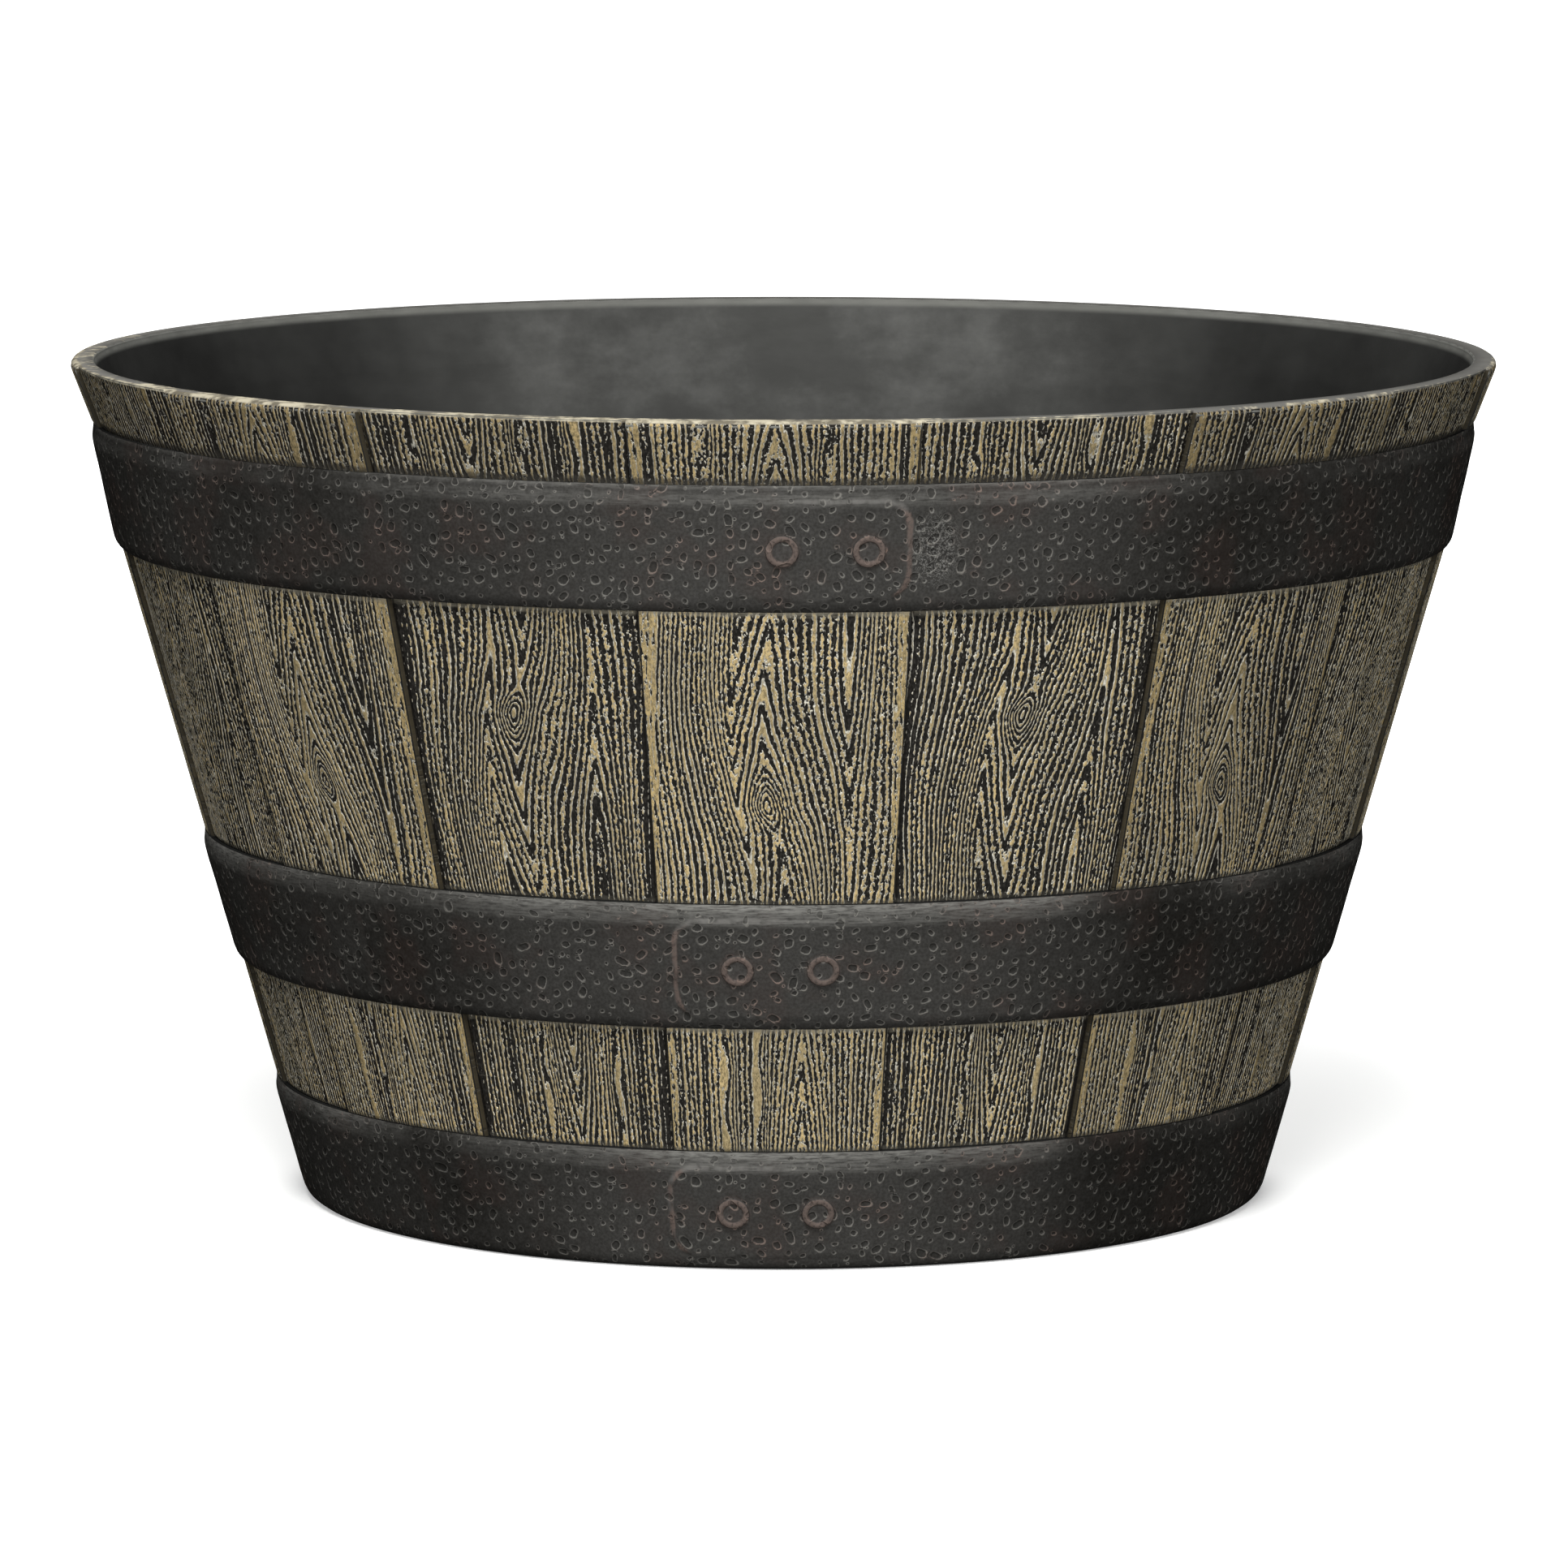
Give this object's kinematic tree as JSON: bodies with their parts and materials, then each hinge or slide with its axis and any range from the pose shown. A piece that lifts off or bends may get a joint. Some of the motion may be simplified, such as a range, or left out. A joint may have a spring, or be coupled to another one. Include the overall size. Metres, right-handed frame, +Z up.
{
  "type": "round planter",
  "caption": "Round barrel-style planter: a tapered stave-wall tub with a flared lip, lapped and riveted hoops round it, and pull-out drain plugs in its floor.",
  "frame": {"origin": "centre of the foot ring, on the ground", "axes": "+Z up the axis of the tub; the lapped hoop ends and the rivets face -Y, the front; +X to the right seen from the front"},
  "size_m": [0.5206, 0.5206, 0.308],
  "materials": {
    "stave_wall": "moulded wood grain, dark plastic with tan dry-brushed ridges",
    "hoop": "hammered, satin charcoal with copper-brown rubbing",
    "rivet": "satin, rubbed copper brown at the ring",
    "plug": "matt black rubber"
  },
  "bodies": {
    "tub": {"tub": "stave_wall", "upper_hoop": "hoop", "middle_hoop": "hoop", "lower_hoop": "hoop", "upper_rivet_left": "rivet", "upper_rivet_right": "rivet", "middle_rivet_left": "rivet", "middle_rivet_right": "rivet", "lower_rivet_left": "rivet", "lower_rivet_right": "rivet"},
    "front_left_plug": {"front_left_plug": "plug"},
    "front_right_plug": {"front_right_plug": "plug"},
    "rear_left_plug": {"rear_left_plug": "plug"},
    "rear_right_plug": {"rear_right_plug": "plug"}
  },
  "joints": [
    {"name": "front_left_pull", "type": "slide", "parent": "tub", "child": "front_left_plug", "axis": [0, 0, 1], "range_m": [0, 0.03]},
    {"name": "front_right_pull", "type": "slide", "parent": "tub", "child": "front_right_plug", "axis": [0, 0, 1], "range_m": [0, 0.03]},
    {"name": "rear_left_pull", "type": "slide", "parent": "tub", "child": "rear_left_plug", "axis": [0, 0, 1], "range_m": [0, 0.03]},
    {"name": "rear_right_pull", "type": "slide", "parent": "tub", "child": "rear_right_plug", "axis": [0, 0, 1], "range_m": [0, 0.03]}
  ]
}
